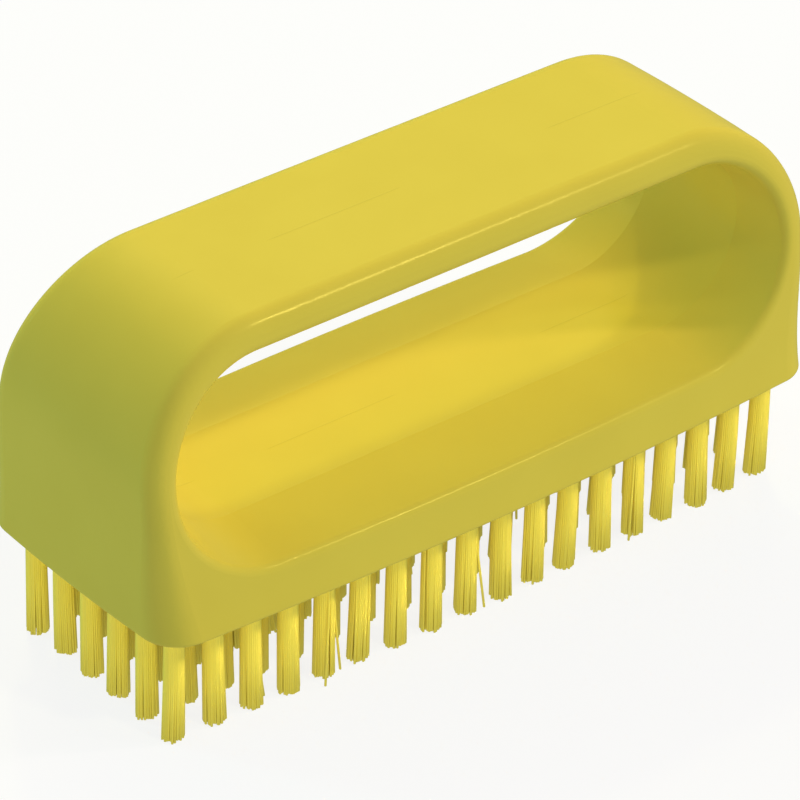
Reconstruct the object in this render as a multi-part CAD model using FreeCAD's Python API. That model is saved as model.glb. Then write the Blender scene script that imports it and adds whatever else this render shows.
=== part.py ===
import FreeCAD, Part
import math
import os

# Nail brush: one moulded block with a loop handle, tufts of filaments, and the anchors that hold them.
# Millimetres. X runs along the brush, Y across it, Z up. The origin lies under the middle of the
# brush, on the plane of the tuft tips, which is what the brush stands on.

# Overall sizes of the block
block_length = 119.4
block_base_width = 47.4
handle_top_width = 30.0
brush_height = 61.9
bristle_length = 18.8

# How the long sides and the ends of the block curve
base_side_bow = 2.1
side_level_share = (0.0, 0.17, 0.40, 0.70, 1.0)
side_width_share = (1.0, 0.75, 0.60, 0.35, 0.0)
side_bow_share = (1.0, 0.83, 0.60, 0.30, 0.04)
end_bow = 0.85

# Round edges of the block: the shoulders of the loop, and the edges between sides, ends and top
shoulder_radius = 21.0
edge_radius = 3.0
base_corner_radius = 6.0
base_edge_radius = 0.5

# The hand opening: a level throat in the middle that flares out to both faces
handle_thickness = 5.9
base_thickness = 8.8
end_wall = 6.4
throat_width = 19.0
flare_angle = 9.5
rim_radius = 1.4

# The tuft pattern
tufts_along = 18
tufts_across = 6
pitch_along = 6.355
pitch_across = 6.34
tuft_bow = 1.5

# One tuft and its hole
hole_depth = 5.6
hole_diameter = 2.9
hole_clearance = 0.03
tuft_tip_diameter = 3.3

# One anchor: a piece of flat wire that lies through the fold of the tuft
anchor_thickness = 0.4
anchor_width = 1.6
anchor_bite = 0.35
fold_thickness = 0.9

# How far cutting tools run past the surface they cut
overrun = 2.0

os.makedirs("parts", exist_ok=True)

half_length = block_length / 2
half_base = block_base_width / 2 - base_side_bow
half_top = handle_top_width / 2
body_height = brush_height - bristle_length
base_z = bristle_length
slope = math.tan(math.radians(flare_angle))


def point(x, y, z):
    return FreeCAD.Vector(x, y, z)


def line(start, end):
    return Part.LineSegment(start, end).toShape()


def arc(start, middle, end):
    return Part.Arc(start, middle, end).toShape()


def save(name, shape):
    """Write one node's file and print what it holds."""
    shape.exportStep("parts/%s.step" % name)
    print(name, "solids", len(shape.Solids), "valid", shape.isValid(), "volume", round(shape.Volume, 2))


def side_at(level):
    """Half width at the ends and bow of the side at one of the levels of the side profile."""
    half = half_top + (half_base - half_top) * side_width_share[level]
    return half, base_side_bow * side_bow_share[level]


def plan_wire(level):
    """Bowed plan outline of the block at one level, its ends beyond the end faces."""
    half, bow = side_at(level)
    z = base_z + body_height * side_level_share[level]
    reach = half_length + overrun
    corners = [point(-reach, -half, z), point(reach, -half, z), point(reach, half, z), point(-reach, half, z)]
    front = arc(corners[0], point(0, -half - bow, z), corners[1])
    back = arc(corners[2], point(0, half + bow, z), corners[3])
    return Part.Wire([front, line(corners[1], corners[2]), back, line(corners[3], corners[0])])


def front_outline(y, reach):
    """The block seen from the front: flat base, upright ends, round shoulders, flat top."""
    shoulder_z = brush_height - shoulder_radius
    flat = reach - shoulder_radius
    bend = shoulder_radius * math.sin(math.radians(45))
    feet = [point(-reach, y, base_z), point(reach, y, base_z)]
    hips = [point(reach, y, shoulder_z), point(-reach, y, shoulder_z)]
    tops = [point(flat, y, brush_height), point(-flat, y, brush_height)]
    edges = [line(feet[0], feet[1]), line(feet[1], hips[0])]
    edges.append(arc(hips[0], point(flat + bend, y, shoulder_z + bend), tops[0]))
    edges.append(line(tops[0], tops[1]))
    edges.append(arc(tops[1], point(-flat - bend, y, shoulder_z + bend), hips[1]))
    edges.append(line(hips[1], feet[0]))
    return Part.Wire(edges)


def stadium(reach_x, low_z, high_z, y):
    """An opening's outline at one distance from the middle plane: flat top and base, round ends."""
    radius = (high_z - low_z) / 2
    middle_z = (high_z + low_z) / 2
    flat = reach_x - radius
    right = arc(point(flat, y, low_z), point(reach_x, y, middle_z), point(flat, y, high_z))
    left = arc(point(-flat, y, high_z), point(-reach_x, y, middle_z), point(-flat, y, low_z))
    low = line(point(-flat, y, low_z), point(flat, y, low_z))
    high = line(point(flat, y, high_z), point(-flat, y, high_z))
    return Part.Wire([low, right, high, left])


def hand_opening():
    """The tool that cuts the finger gap: throat, and a flare to each face."""
    reach_x = half_length - end_wall
    low_z = base_z + base_thickness
    high_z = brush_height - handle_thickness
    inner = throat_width / 2
    outer = block_base_width / 2 + overrun
    spread = slope * (outer - inner)
    throat = stadium(reach_x, low_z, high_z, -inner)
    tool = Part.Face(throat).extrude(point(0, throat_width, 0))
    for side in (-1, 1):
        near = stadium(reach_x, low_z, high_z, side * inner)
        far = stadium(reach_x + spread, low_z - spread, high_z + spread, side * outer)
        tool = tool.fuse(Part.makeLoft([near, far], True, True))
    return tool


def middle_of(edge):
    return edge.valueAt((edge.FirstParameter + edge.LastParameter) / 2)


def on_side(edge):
    """Whether an edge runs where a long side meets the end, shoulder or top."""
    middle = middle_of(edge)
    return abs(middle.y) > half_top / 2 and middle.z > base_z + base_edge_radius


def in_base(edge):
    """Whether an edge lies in the plane of the base."""
    return edge.BoundBox.ZMax < base_z + base_edge_radius / 2


def radius_at(edge, parameter):
    """Edge radius at one end of an edge: small round the base, large where a corner reaches it."""
    if in_base(edge):
        return base_edge_radius
    at_base = edge.valueAt(parameter).z < base_z + base_edge_radius
    return base_corner_radius if at_base else edge_radius


def round_edges(body):
    """Round the edges of the block, with corners that widen towards the base."""
    document = FreeCAD.newDocument("nail_brush")
    sharp = document.addObject("Part::Feature", "sharp_body")
    sharp.Shape = body
    rounded = document.addObject("Part::Fillet", "rounded_body")
    rounded.Base = sharp
    radii = []
    for number, edge in enumerate(body.Edges, 1):
        if on_side(edge) or in_base(edge):
            ends = (edge.FirstParameter, edge.LastParameter)
            radii.append((number, radius_at(edge, ends[0]), radius_at(edge, ends[1])))
    rounded.Edges = radii
    document.recompute()
    return rounded.Shape


def block_body():
    """The block before the opening and the holes are cut."""
    sides = Part.makeLoft([plan_wire(level) for level in range(len(side_level_share))], True, False)
    half_width = block_base_width / 2
    outlines = [front_outline(-half_width, half_length - end_bow), front_outline(0, half_length)]
    outlines.append(front_outline(half_width, half_length - end_bow))
    return round_edges(sides.common(Part.makeLoft(outlines, True, False)))


def is_rim(edge):
    """Whether an edge is where the flare of the opening breaks through a long side."""
    box = edge.BoundBox
    inside_x = box.XMax < half_length - edge_radius / 2 and box.XMin > -half_length + edge_radius / 2
    inside_z = box.ZMin > base_z + base_edge_radius and box.ZMax < brush_height - edge_radius / 2
    return inside_x and inside_z and abs(middle_of(edge).y) > throat_width / 2 + overrun


def pierced_block():
    """The block with its finger gap, the round rim of the gap on both faces, and the tuft holes."""
    opened = block_body().cut(hand_opening())
    opened = opened.makeFillet(rim_radius, [edge for edge in opened.Edges if is_rim(edge)])
    return opened.cut(Part.makeCompound([hole_tool(x, y) for row in tuft_places() for x, y in row]))


def tuft_places():
    """Rows of tuft positions: rows[i][j] is the j-th tuft across in the i-th row along the brush."""
    rows = []
    last = (tufts_across - 1) / 2
    for i in range(tufts_along):
        x = (i - (tufts_along - 1) / 2) * pitch_along
        swell = tuft_bow * (1 - (x / half_length) ** 2)
        shares = [(j - last) / last for j in range(tufts_across)]
        rows.append([(x, share * (last * pitch_across + swell)) for share in shares])
    return rows


def anchor(x, y):
    """A piece of flat wire, on edge across a hole, with both ends bitten into the wall."""
    length = hole_diameter + 2 * anchor_bite
    low_z = base_z + hole_depth - fold_thickness - anchor_width
    corner = point(x - length / 2, y - anchor_thickness / 2, low_z)
    return Part.makeBox(length, anchor_thickness, anchor_width, corner)


def hole_tool(x, y):
    """Blind hole for one tuft, with the slit that its anchor cuts in the wall."""
    radius = hole_diameter / 2 + hole_clearance
    bore = Part.makeCylinder(radius, hole_depth + overrun, point(x, y, base_z - overrun))
    return bore.fuse(anchor(x, y))


def tuft(x, y):
    """One tuft: a round bundle that spreads a little below the block, with a slot for its anchor."""
    root = Part.makeCylinder(hole_diameter / 2, hole_depth, point(x, y, base_z))
    free = Part.makeCone(tuft_tip_diameter / 2, hole_diameter / 2, bristle_length, point(x, y, 0))
    return root.fuse(free).removeSplitter().cut(anchor(x, y))


save("brush_block", pierced_block())
for row_number, places in enumerate(tuft_places(), 1):
    save("tuft_row_%02d" % row_number, Part.makeCompound([tuft(x, y) for x, y in places]))
    save("anchor_row_%02d" % row_number, Part.makeCompound([anchor(x, y) for x, y in places]))
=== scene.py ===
import math
import random

import bmesh
import bpy
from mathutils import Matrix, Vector


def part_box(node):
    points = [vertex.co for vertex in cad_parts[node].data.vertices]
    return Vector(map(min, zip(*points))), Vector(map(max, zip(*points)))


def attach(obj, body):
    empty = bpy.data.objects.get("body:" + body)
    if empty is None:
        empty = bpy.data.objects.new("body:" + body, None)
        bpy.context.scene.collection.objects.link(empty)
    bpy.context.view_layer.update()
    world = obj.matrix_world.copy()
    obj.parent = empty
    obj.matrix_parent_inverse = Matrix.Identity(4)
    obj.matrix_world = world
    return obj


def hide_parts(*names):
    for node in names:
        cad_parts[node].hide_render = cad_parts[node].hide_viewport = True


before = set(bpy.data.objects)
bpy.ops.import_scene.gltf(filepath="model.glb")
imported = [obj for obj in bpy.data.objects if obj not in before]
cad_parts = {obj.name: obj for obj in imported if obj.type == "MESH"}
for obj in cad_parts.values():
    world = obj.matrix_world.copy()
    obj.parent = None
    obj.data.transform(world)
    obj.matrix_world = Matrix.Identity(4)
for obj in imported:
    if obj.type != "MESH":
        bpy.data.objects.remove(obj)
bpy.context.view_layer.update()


# Camera
# The photograph is taken through a long lens, from above the front left corner of the brush, and it
# is turned by about a degree. Azimuth 0 would look straight at the front.
camera_azimuth = math.radians(-39.71)
camera_elevation = math.radians(33.17)
camera_roll = math.radians(1.24)
camera_distance = 0.761
camera_target = Vector((-0.00157, 0, 0.02632))
sensor_width = 36
focal_length = 240.37

across = Vector((math.cos(camera_azimuth), math.sin(camera_azimuth), 0))
back = Vector((0, 0, math.sin(camera_elevation)))
back.x = math.sin(camera_azimuth) * math.cos(camera_elevation)
back.y = -math.cos(camera_azimuth) * math.cos(camera_elevation)
above = back.cross(across)
rolled_across = math.cos(camera_roll) * across + math.sin(camera_roll) * above
rolled_above = back.cross(rolled_across)

camera = bpy.data.cameras.new("camera")
camera.sensor_width = sensor_width
camera.lens = focal_length
camera_object = bpy.data.objects.new("camera", camera)
bpy.context.scene.collection.objects.link(camera_object)
view = camera_object.matrix_world.to_3x3()
view.col[0] = rolled_across
view.col[1] = rolled_above
view.col[2] = back
camera_object.matrix_world = view.to_4x4()
camera_object.location = camera_target + camera_distance * back
bpy.context.scene.camera = camera_object


# Brush block
# One injection moulding in yellow polypropylene, block and loop handle together. Its surface is
# satin from the mould, with a hair-fine broken parting line round it, in the middle plane. The line is a
# small bump, and its darkening in the colour is painted shade.
block_yellow = (0.77, 0.61, 0.078, 1)
block_deep_yellow = (0.75, 0.59, 0.074, 1)
block_gloss = 0.4
block_gloss_tint = (1, 0.8, 0.15, 1)
block_cloud_scale = 70
cloud_detail = 3
cloud_span = (0.3, 0.7)
block_roughness = (0.18, 0.24)
roughness_cloud_scale = 240
grain_scale = 900
grain_share = 0.08
parting_width = 0.00012
parting_height = 0.00002
# Painted shade: the colour is darkened along the parting line, besides its small bump.
parting_painted_shade = (0.93, 0.93, 0.9, 1)
parting_reach = 0.06
parting_runs = ((-0.041, -0.039), (-0.025, -0.003), (0.025, 0.041))
parting_fade = 0.001


def add_node(tree, kind, settings=None, values=None):
    """Put a node in a material or group, with its settings and its sockets' own values."""
    node = tree.nodes.new(kind)
    for name, value in (settings or {}).items():
        setattr(node, name, value)
    for socket, value in (values or {}).items():
        node.inputs[socket].default_value = value
    return node


cloud_group = bpy.data.node_groups.new("soft_cloud", "ShaderNodeTree")
for name in ("Scale", "Least", "Most"):
    cloud_group.interface.new_socket(name, in_out="INPUT", socket_type="NodeSocketFloat")
cloud_group.interface.new_socket("Stretch", in_out="INPUT", socket_type="NodeSocketVector")
cloud_group.interface.new_socket("Value", in_out="OUTPUT", socket_type="NodeSocketFloat")
given = add_node(cloud_group, "NodeGroupInput")
result = add_node(cloud_group, "NodeGroupOutput")
spot = add_node(cloud_group, "ShaderNodeTexCoord")
drawn = add_node(cloud_group, "ShaderNodeVectorMath", {"operation": "MULTIPLY"})
noise = add_node(cloud_group, "ShaderNodeTexNoise", values={"Detail": cloud_detail})
levels = add_node(
    cloud_group, "ShaderNodeMapRange", values={"From Min": cloud_span[0], "From Max": cloud_span[1]}
)
cloud_group.links.new(spot.outputs["Object"], drawn.inputs[0])
cloud_group.links.new(given.outputs["Stretch"], drawn.inputs[1])
cloud_group.links.new(drawn.outputs["Vector"], noise.inputs["Vector"])
cloud_group.links.new(given.outputs["Scale"], noise.inputs["Scale"])
cloud_group.links.new(noise.outputs["Fac"], levels.inputs["Value"])
cloud_group.links.new(given.outputs["Least"], levels.inputs["To Min"])
cloud_group.links.new(given.outputs["Most"], levels.inputs["To Max"])
cloud_group.links.new(levels.outputs["Result"], result.inputs["Value"])


def add_cloud(tree, scale, least=0, most=1, stretch=(1, 1, 1)):
    """A cloudy pattern that runs between two values, drawn out along an axis of small stretch."""
    values = {"Scale": scale, "Least": least, "Most": most, "Stretch": stretch}
    node = add_node(tree, "ShaderNodeGroup", {"node_tree": cloud_group}, values)
    return node.outputs["Value"]


def add_ramp(tree, value, low_colour, high_colour):
    """The colour between two colours that a value from nought to one picks."""
    ramp = add_node(tree, "ShaderNodeValToRGB")
    ramp.color_ramp.elements[0].color = low_colour
    ramp.color_ramp.elements[1].color = high_colour
    tree.links.new(value, ramp.inputs["Fac"])
    return ramp.outputs["Color"]


plastic = bpy.data.materials.new("block_plastic_satin")
plastic.use_nodes = True
tree = plastic.node_tree
shader = tree.nodes["Principled BSDF"]
shader.inputs["Specular IOR Level"].default_value = block_gloss
shader.inputs["Specular Tint"].default_value = block_gloss_tint

spot = add_node(tree, "ShaderNodeTexCoord")
axes = add_node(tree, "ShaderNodeSeparateXYZ")
off_middle = add_node(tree, "ShaderNodeMath", {"operation": "ABSOLUTE"})
line = add_node(
    tree, "ShaderNodeMapRange", {"interpolation_type": "SMOOTHSTEP"},
    {"From Min": 0, "From Max": parting_width, "To Min": 1, "To Max": 0},
)
along = add_node(tree, "ShaderNodeMapRange", values={"From Min": -parting_reach, "From Max": parting_reach})
runs = add_node(tree, "ShaderNodeValToRGB")
runs.color_ramp.elements[1].color = (0, 0, 0, 1)
for start, end in parting_runs:
    for place, height in ((start - parting_fade, 0), (start, 1), (end, 1), (end + parting_fade, 0)):
        stop = runs.color_ramp.elements.new((place + parting_reach) / (2 * parting_reach))
        stop.color = (height, height, height, 1)
parting = add_node(tree, "ShaderNodeMath", {"operation": "MULTIPLY"})
tree.links.new(spot.outputs["Object"], axes.inputs["Vector"])
tree.links.new(axes.outputs["Y"], off_middle.inputs["Value"])
tree.links.new(off_middle.outputs["Value"], line.inputs["Value"])
tree.links.new(axes.outputs["X"], along.inputs["Value"])
tree.links.new(along.outputs["Result"], runs.inputs["Fac"])
tree.links.new(line.outputs["Result"], parting.inputs[0])
tree.links.new(runs.outputs["Color"], parting.inputs[1])

body_colour = add_ramp(tree, add_cloud(tree, block_cloud_scale), block_deep_yellow, block_yellow)
# Painted shade: the base colour is multiplied darker along the broken parting line.
shaded = add_node(tree, "ShaderNodeMixRGB", {"blend_type": "MULTIPLY"}, {"Color2": parting_painted_shade})
tree.links.new(parting.outputs["Value"], shaded.inputs["Fac"])
tree.links.new(body_colour, shaded.inputs["Color1"])
tree.links.new(shaded.outputs["Color"], shader.inputs["Base Color"])
tree.links.new(add_cloud(tree, roughness_cloud_scale, *block_roughness), shader.inputs["Roughness"])

relief = add_node(tree, "ShaderNodeMath", {"operation": "ADD"})
bump = add_node(tree, "ShaderNodeBump", values={"Distance": parting_height})
tree.links.new(add_cloud(tree, grain_scale, 0, grain_share), relief.inputs[0])
tree.links.new(parting.outputs["Value"], relief.inputs[1])
tree.links.new(relief.outputs["Value"], bump.inputs["Height"])
tree.links.new(bump.outputs["Normal"], shader.inputs["Normal"])

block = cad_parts["brush_block"]
block.data.materials.clear()
block.data.materials.append(plastic)


# Anchors
# Each is a short length of flat stainless wire, cut off square and driven across the fold of its
# tuft. They are hidden in the block.
anchor_grey = (0.55, 0.55, 0.53, 1)
anchor_dark_grey = (0.42, 0.42, 0.41, 1)
drawn_scale = 6000
drawn_stretch = (0.04, 1, 1)
drawn_roughness = (0.22, 0.4)
drawn_depth = 0.000004

steel = bpy.data.materials.new("anchor_steel_drawn")
steel.use_nodes = True
tree = steel.node_tree
shader = tree.nodes["Principled BSDF"]
shader.inputs["Metallic"].default_value = 1
streaks = add_cloud(tree, drawn_scale, stretch=drawn_stretch)
tree.links.new(add_ramp(tree, streaks, anchor_dark_grey, anchor_grey), shader.inputs["Base Color"])
tree.links.new(
    add_cloud(tree, drawn_scale, *drawn_roughness, drawn_stretch), shader.inputs["Roughness"]
)
bump = add_node(tree, "ShaderNodeBump", values={"Distance": drawn_depth})
tree.links.new(streaks, bump.inputs["Height"])
tree.links.new(bump.outputs["Normal"], shader.inputs["Normal"])
for name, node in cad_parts.items():
    if name.startswith("anchor_row"):
        node.data.materials.clear()
        node.data.materials.append(steel)


# Bristle tufts
# Each tuft is a bundle of stiff nylon filaments in the block's own yellow, folded in half over its
# anchor so that both legs stand in one hole. The legs spread a little towards the floor, and their
# ends are trimmed flat but not quite even. A few stray out of their bundle.
bristle_yellow = (0.9, 0.735, 0.085, 1)
bristle_deep_yellow = (0.85, 0.695, 0.077, 1)
bristle_gloss = 0.3
bristle_roughness = (0.36, 0.5)
bristle_cloud_scale = 900
filament_radius = 0.00018
filament_sides = 6
free_steps = 2
fold_steps = 2
row_count = 18
tufts_in_row = 6
tip_radius = 0.00165
hole_radius = 0.00145
filament_rings = ((1, 16), (0.74, 9), (0.48, 5), (0.22, 2))
fold_reach = 0.0004
squeeze_in_hole = 0.95
tip_scatter = 0.00006
uneven_ends = 0.00055
tuft_lean = 0.0002
trim_slope = 0.12
stray_share = 0.012
stray_lean = 0.0009
chance_seed = 11

base_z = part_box("brush_block")[0].z
fold_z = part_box("anchor_row_01")[1].z
bundle_radius = hole_radius - filament_radius
spread = (tip_radius - filament_radius) / bundle_radius - 1
chance = random.Random(chance_seed)

nylon = bpy.data.materials.new("bristle_nylon")
nylon.use_nodes = True
tree = nylon.node_tree
shader = tree.nodes["Principled BSDF"]
shader.inputs["Specular IOR Level"].default_value = bristle_gloss
tone = add_node(tree, "ShaderNodeAttribute", {"attribute_name": "filament_tone"})
tree.links.new(
    add_ramp(tree, tone.outputs["Fac"], bristle_deep_yellow, bristle_yellow), shader.inputs["Base Color"]
)
tree.links.new(
    add_cloud(tree, bristle_cloud_scale, *bristle_roughness), shader.inputs["Roughness"]
)

bpy.ops.object.select_all(action="DESELECT")
bpy.ops.mesh.primitive_circle_add(
    vertices=filament_sides, radius=filament_radius, fill_type="NGON", location=(0, -fold_reach, 0)
)
filament = bpy.context.object
bpy.ops.object.transform_apply(location=True)
bpy.ops.object.mode_set(mode="EDIT")
bpy.ops.mesh.select_all(action="SELECT")
rises = [base_z / free_steps] * free_steps + [fold_z - base_z]
for rise in rises:
    bpy.ops.mesh.extrude_region_move(TRANSFORM_OT_translate={"value": (0, 0, rise)})
bpy.ops.mesh.spin(steps=fold_steps, angle=math.pi, center=(0, 0, fold_z), axis=(1, 0, 0))
for rise in reversed(rises):
    bpy.ops.mesh.extrude_region_move(TRANSFORM_OT_translate={"value": (0, 0, -rise)})
bpy.ops.mesh.select_all(action="SELECT")
bpy.ops.mesh.normals_make_consistent(inside=False)
bpy.ops.object.mode_set(mode="OBJECT")
for face in filament.data.polygons:
    face.use_smooth = len(face.vertices) < filament_sides
pattern = [vertex.co.copy() for vertex in filament.data.vertices]
centres = []
for first in range(0, len(pattern), filament_sides):
    ring = pattern[first:first + filament_sides]
    centres.append(sum(ring, Vector()) / filament_sides)


def ring_place(centre, seat, leg_lean, leg_cut):
    """Where one ring of a folded filament goes, measured from the middle of its tuft."""
    side = centre.y / fold_reach
    inner_y = max(seat.y, fold_reach)
    if centre.z > fold_z:
        rise = (centre.z - fold_z) / fold_reach * inner_y / 2
        return Vector((seat.x * squeeze_in_hole, side * inner_y, fold_z + rise))
    if centre.z > base_z:
        return Vector((seat.x * squeeze_in_hole, side * inner_y, centre.z))
    out = (base_z - centre.z) / base_z
    place = Vector((seat.x, side * seat.y, 0)) * (1 + spread * out) + leg_lean * out * out
    place.z = centre.z + leg_cut * out
    return place


def loose(length):
    """A random sideways shift of about the given length."""
    return Vector((chance.gauss(0, length), chance.gauss(0, length), 0))


tufts = bpy.data.collections.new("tufts")
for row_number in range(1, row_count + 1):
    node = "tuft_row_%02d" % row_number
    low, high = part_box(node)
    row_x = (low.x + high.x) / 2
    outer_y = (high.y - low.y) / 2 - tip_radius
    row = bmesh.new()
    tones = row.verts.layers.float.new("filament_tone")
    for number in range(tufts_in_row):
        middle = Vector((row_x, outer_y * (2 * number / (tufts_in_row - 1) - 1), 0))
        lean = loose(tuft_lean)
        trim = loose(trim_slope)
        for share, count in filament_rings:
            for number_in_ring in range(count):
                turn = math.pi * (number_in_ring + 0.5) / count
                seat = Vector((math.cos(turn), math.sin(turn), 0)) * bundle_radius * share
                tone_value = chance.random()
                legs = []
                for leg in range(2):
                    leg_lean = lean + loose(tip_scatter)
                    if chance.random() < stray_share:
                        leg_lean += loose(stray_lean)
                    leg_seat = Vector((seat.x, seat.y * (2 * leg - 1), 0))
                    leg_cut = trim.dot(leg_seat) + chance.random() * uneven_ends
                    legs.append((leg_lean, max(leg_cut, 0)))
                row.from_mesh(filament.data)
                row.verts.ensure_lookup_table()
                fresh = row.verts[-len(pattern):]
                for index, centre in enumerate(centres):
                    leg_lean, leg_cut = legs[0] if centre.y < 0 else legs[1]
                    shift = middle + ring_place(centre, seat, leg_lean, leg_cut) - centre
                    for corner in fresh[index * filament_sides:(index + 1) * filament_sides]:
                        corner.co += shift
                        corner[tones] = tone_value
    mesh = bpy.data.meshes.new("bristle_row_%02d" % row_number)
    row.to_mesh(mesh)
    row.free()
    piece = bpy.data.objects.new("bristle_row_%02d" % row_number, mesh)
    bpy.context.scene.collection.objects.link(piece)
    tufts.objects.link(piece)
    mesh.materials.append(nylon)
    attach(piece, "root")
    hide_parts(node)
bpy.data.objects.remove(filament)


# Floor and lights
# A pale table, lit from below as well as above so that it shows only a faint shadow, and soft lamps
# that leave the left end and the right wall of the loop in the shade. The tuft fill lights only the
# tufts, and the gloss shows only the key lamp and the room.
floor_reach = 3
floor_white = (0.9, 0.9, 0.9, 1)
floor_glow_share = 0.85
floor_glow_seen = (1, 1, 1, 1)
floor_glow_unseen = (0.64, 0.7, 0.78, 1)
lamp_distance = 3
studio_white = (1, 1, 1, 1)
studio_tint = (0.46, 0.76, 1, 1)
studio_strength = 0.41
studio_gloss_tint = (0.8, 0.9, 0.35, 1)
studio_gloss_strength = 0.4

bpy.ops.object.select_all(action="DESELECT")
bpy.ops.mesh.primitive_plane_add(size=floor_reach, location=(0, 0, 0))
floor = bpy.context.object
floor.name = "floor"
floor.visible_glossy = False
paper = bpy.data.materials.new("white_paper")
paper.use_nodes = True
tree = paper.node_tree
shader = tree.nodes["Principled BSDF"]
shader.inputs["Base Color"].default_value = floor_white
shader.inputs["Roughness"].default_value = 1
glow = add_node(tree, "ShaderNodeEmission")
seen = add_node(tree, "ShaderNodeLightPath")
glow_colour = add_node(
    tree, "ShaderNodeMixRGB", values={"Color1": floor_glow_unseen, "Color2": floor_glow_seen}
)
blend = add_node(tree, "ShaderNodeMixShader", values={"Fac": floor_glow_share})
tree.links.new(seen.outputs["Is Camera Ray"], glow_colour.inputs["Fac"])
tree.links.new(glow_colour.outputs["Color"], glow.inputs["Color"])
tree.links.new(shader.outputs["BSDF"], blend.inputs[1])
tree.links.new(glow.outputs["Emission"], blend.inputs[2])
tree.links.new(blend.outputs["Shader"], tree.nodes["Material Output"].inputs["Surface"])
floor.data.materials.append(paper)

# Name, azimuth, elevation, size, power and colour of each lamp.
lamps = (
    ("key", 45, 43, 0.25, 7.5, (1, 1, 0.9)),
    ("front_fill", 15, 49, 0.25, 22, (1, 0.92, 0.5)),
    ("right_fill", 60, 31, 0.25, 25.1, (1, 0.76, 0.7)),
    ("rear_top_fill", 180, 65, 1.5, 11.8, (1, 0.32, 0.3)),
    ("rear_fill", 150, 48, 0.15, 12.5, (1, 0.97, 0.35)),
    ("rear_soft_fill", 150, 30, 1.5, 33.6, (1, 0.91, 0.3)),
    ("rear_left_fill", -150, 15, 0.5, 24.6, (0.52, 1, 0.9)),
    ("tuft_fill", -40, 8, 1.5, 42, (1, 0.93, 0.8)),
)
for name, azimuth, elevation, size, power, colour in lamps:
    lamp = bpy.data.lights.new(name, "AREA")
    lamp.size = size
    lamp.energy = power
    lamp.color = colour
    lamp_object = bpy.data.objects.new(name, lamp)
    bpy.context.scene.collection.objects.link(lamp_object)
    turn = math.radians(azimuth)
    lift = math.radians(elevation)
    away = Vector((math.sin(turn) * math.cos(lift), -math.cos(turn) * math.cos(lift), math.sin(lift)))
    lamp_object.location = camera_target + away * lamp_distance
    lamp_object.rotation_euler = away.to_track_quat("Z", "Y").to_euler()
    lamp_object.visible_glossy = name == "key"
    if name == "tuft_fill":
        lamp_object.light_linking.receiver_collection = tufts

world = bpy.data.worlds.new("studio")
bpy.context.scene.world = world
world.use_nodes = True
tree = world.node_tree
walls = tree.nodes["Background"]
walls.inputs["Color"].default_value = studio_tint
walls.inputs["Strength"].default_value = studio_strength
behind = add_node(tree, "ShaderNodeBackground", values={"Color": studio_white, "Strength": 1})
mirrored = add_node(
    tree, "ShaderNodeBackground", values={"Color": studio_gloss_tint, "Strength": studio_gloss_strength}
)
seen = add_node(tree, "ShaderNodeLightPath")
gloss_blend = add_node(tree, "ShaderNodeMixShader")
blend = add_node(tree, "ShaderNodeMixShader")
tree.links.new(seen.outputs["Is Glossy Ray"], gloss_blend.inputs["Fac"])
tree.links.new(walls.outputs["Background"], gloss_blend.inputs[1])
tree.links.new(mirrored.outputs["Background"], gloss_blend.inputs[2])
tree.links.new(seen.outputs["Is Camera Ray"], blend.inputs["Fac"])
tree.links.new(gloss_blend.outputs["Shader"], blend.inputs[1])
tree.links.new(behind.outputs["Background"], blend.inputs[2])
tree.links.new(blend.outputs["Shader"], tree.nodes["World Output"].inputs["Surface"])

bpy.context.scene.view_settings.view_transform = "Standard"
